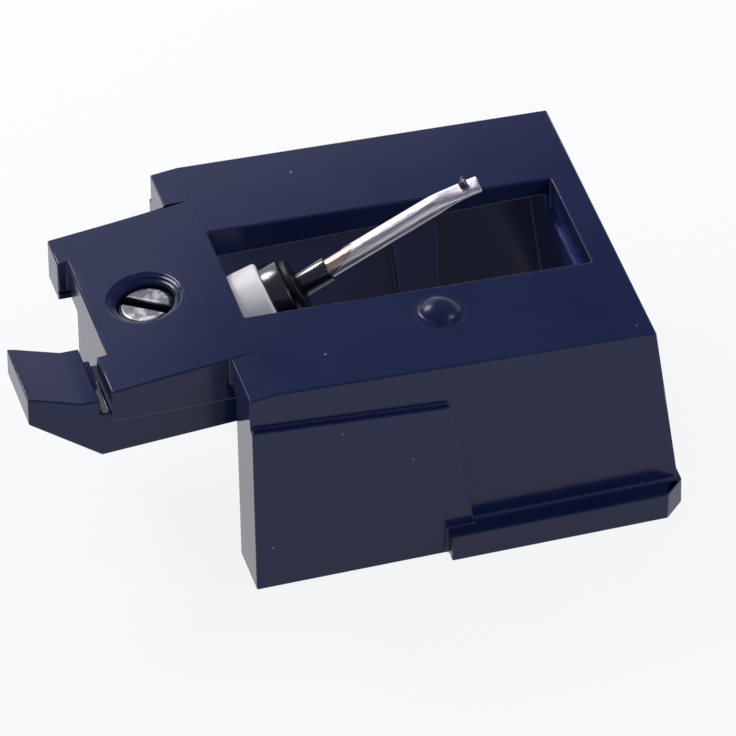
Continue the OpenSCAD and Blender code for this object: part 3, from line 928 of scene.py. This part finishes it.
# %% Set the thread in its hole
onto_line = Vector((0, 0, 1)).rotation_difference(screw_way).to_matrix().to_4x4()
to_hole = Matrix.Scale(MM, 4) @ Matrix.Translation(hole_top) @ onto_line
bmesh.ops.transform(shape, matrix=to_hole, verts=shape.verts)
thread = piece_from("screw_hole_thread", shape, "unit", plastic)
thread.data.set_sharp_from_angle(angle=SHARP)
print("thread has", len(thread.data.polygons), "faces")

# %% [markdown]
# ## Hidden pieces
# The stop lies at the rear of the bush's bore, and the wire runs from it through the collar to the
# pivot, so no view shows them. They still get round edges and their own metal, because the part may
# be taken apart.

# %% Wire and stop
soften("tension_wire_drawn", "tension_wire", "unit", wire_steel, radius_mm=0.005)
soften("wire_stop_turned", "wire_stop", "unit", shaded_brass, radius_mm=0.02)

# %% [markdown]
# ## The table
# The photo's table is white to the edge of the frame, with the faintest shadow. A lit white floor
# would need so much light that the object washes out. So the floor glows a plain white for camera
# rays and for mirrored and refracted ones, with a small share of real diffuse white on top that keeps
# the shadow. Under the housing the glow is made weaker: a painted shadow, since hardly any light gets
# there, and it keeps the pocket's walls from mirroring a bright table.

# %% White floor
FLOOR_HALF = 0.6
FLOOR_GAP = 0.01 * MM
FLOOR_PAINT = (0.86, 0.87, 0.885, 1)
FLOOR_GLOW = (0.985, 0.99, 1.0, 1)
FLOOR_GLOW_SHARE = 0.88
POCKET_REAR = (1.0, 4.0)
POCKET_FRONT = (11.8, 10.6)
POCKET_SIDE = (4.57, 3.37)
PAINTED_SHADOW_STRENGTH = 0.62


def light_rays(finish):
    """Which rays come from the camera, from a mirror and through glass."""
    path = finish.tree.nodes.new("ShaderNodeLightPath")
    names = ("Is Camera Ray", "Is Glossy Ray", "Is Transmission Ray")
    return [Wire(finish, path.outputs[name]) for name in names]


def white_floor():
    finish = Finish("white table")
    tree = finish.tree
    tree.nodes.remove(finish.shader)
    camera_ray, glossy_ray, through_ray = light_rays(finish)
    seen = (camera_ray + glossy_ray + through_ray).clamped()
    paint = finish.add("ShaderNodeBsdfDiffuse", None, {"Color": FLOOR_PAINT})
    glow = finish.add("ShaderNodeEmission", None, {"Color": FLOOR_GLOW, "Strength": 1.0})
    x, y = finish.axes(finish.place())[:2]
    # Painted shadow: the glow is weaker under the housing.
    painted_shadow_under = x.rise(*POCKET_REAR) * x.rise(*POCKET_FRONT) * y.size().rise(*POCKET_SIDE)
    share = seen * (1 - painted_shadow_under * PAINTED_SHADOW_STRENGTH) * FLOOR_GLOW_SHARE
    both = finish.add("ShaderNodeMixShader", None, {0: share, 1: paint, 2: glow})
    tree.links.new(both.socket, tree.nodes["Material Output"].inputs["Surface"])
    return finish


floor_shape = bmesh.new()
bmesh.ops.create_grid(floor_shape, x_segments=1, y_segments=1, size=FLOOR_HALF)
floor_level = cad_box[0].z - FLOOR_GAP
bmesh.ops.translate(floor_shape, verts=floor_shape.verts, vec=(0, 0, floor_level))
floor_mesh = bpy.data.meshes.new("table")
floor_shape.to_mesh(floor_mesh)
floor_shape.free()
table = bpy.data.objects.new("table", floor_mesh)
bpy.context.scene.collection.objects.link(table)
floor_mesh.materials.append(white_floor().material)
print("the table lies at", round(floor_level / MM, 3), "mm")

# %% [markdown]
# ## Light
# The highlights on the pip, the collar and the tube say where the lamps stood. The key is small,
# strong and high up, behind the object and to the left. The fill is in front and to the right. A
# broad dim card stands low behind the object: the two top facets mirror it, so it sets their tone.
#
# The world shows each kind of ray something else. The camera sees plain white all round. Mirrored and
# refracted rays see that white only near the horizon, and a darker room above it. Every other ray
# gets the dim, even light of the room.

# %% World
BACKDROP_TOP = (0.32, 0.08)
ROOM = (0.35, 0.355, 0.38, 1.0)
ROOM_MIRRORED = (0.16, 0.165, 0.2, 1.0)


def studio_world():
    world = bpy.data.worlds.new("studio")
    world.use_nodes = True
    bpy.context.scene.world = world
    finish = Finish.__new__(Finish)
    finish.tree = world.node_tree
    camera_ray, glossy_ray, through_ray = light_rays(finish)
    upward = finish.axes(finish.add("ShaderNodeTexCoord", output="Generated"))[2]
    backdrop = upward.rise(*BACKDROP_TOP)
    above = finish.mix(glossy_ray, ROOM, ROOM_MIRRORED)
    white = (camera_ray + (glossy_ray + through_ray) * backdrop).clamped()
    colour = finish.mix(white, above, (1, 1, 1, 1))
    background = finish.tree.nodes["Background"]
    finish.tree.links.new(colour.socket, background.inputs["Color"])
    background.inputs["Strength"].default_value = 1.0
    return finish


world_finish = studio_world()
print("the world has", len(world_finish.tree.nodes), "nodes")

# %% Lamps
LAMP_AIM = Vector((5.0, 0.0, 5.0)) * MM
WHITE_LIGHT = (1.0, 0.99, 1.0)
COOL_LIGHT = (0.93, 0.96, 1.0)


def softbox(name, azimuth, elevation, distance, size, radiance, colour=WHITE_LIGHT, roll=0.0):
    """A lamp aimed at the object, as bright as radiance says, whatever its size in mm."""
    light = bpy.data.lights.new(name, "AREA")
    light.shape = "RECTANGLE"
    light.size, light.size_y = (side * MM for side in size)
    light.energy = radiance * math.pi * light.size * light.size_y
    light.color = colour
    lamp = bpy.data.objects.new(name, light)
    bpy.context.scene.collection.objects.link(lamp)
    way = way_to(math.radians(azimuth), math.radians(elevation))
    lamp.location = LAMP_AIM + way * distance * MM
    lamp.rotation_mode = "QUATERNION"
    rolled = Quaternion((0, 0, 1), math.radians(roll))
    lamp.rotation_quaternion = way.to_track_quat("Z", "Y") @ rolled
    lamp.visible_camera = False
    print(name, "gives", round(light.energy, 4), "W")


softbox("key", azimuth=-144, elevation=45, distance=75, size=(23, 23), radiance=16)
softbox("card", azimuth=187, elevation=18, distance=46, size=(48, 43), radiance=0.85, roll=15)
softbox("fill", azimuth=62, elevation=32, distance=110, size=(36, 36), radiance=7, colour=COOL_LIGHT)

# %% [markdown]
# ## Picture settings
# Standard keeps a written colour as it is.

# %% Finish
bpy.context.scene.view_settings.view_transform = "Standard"
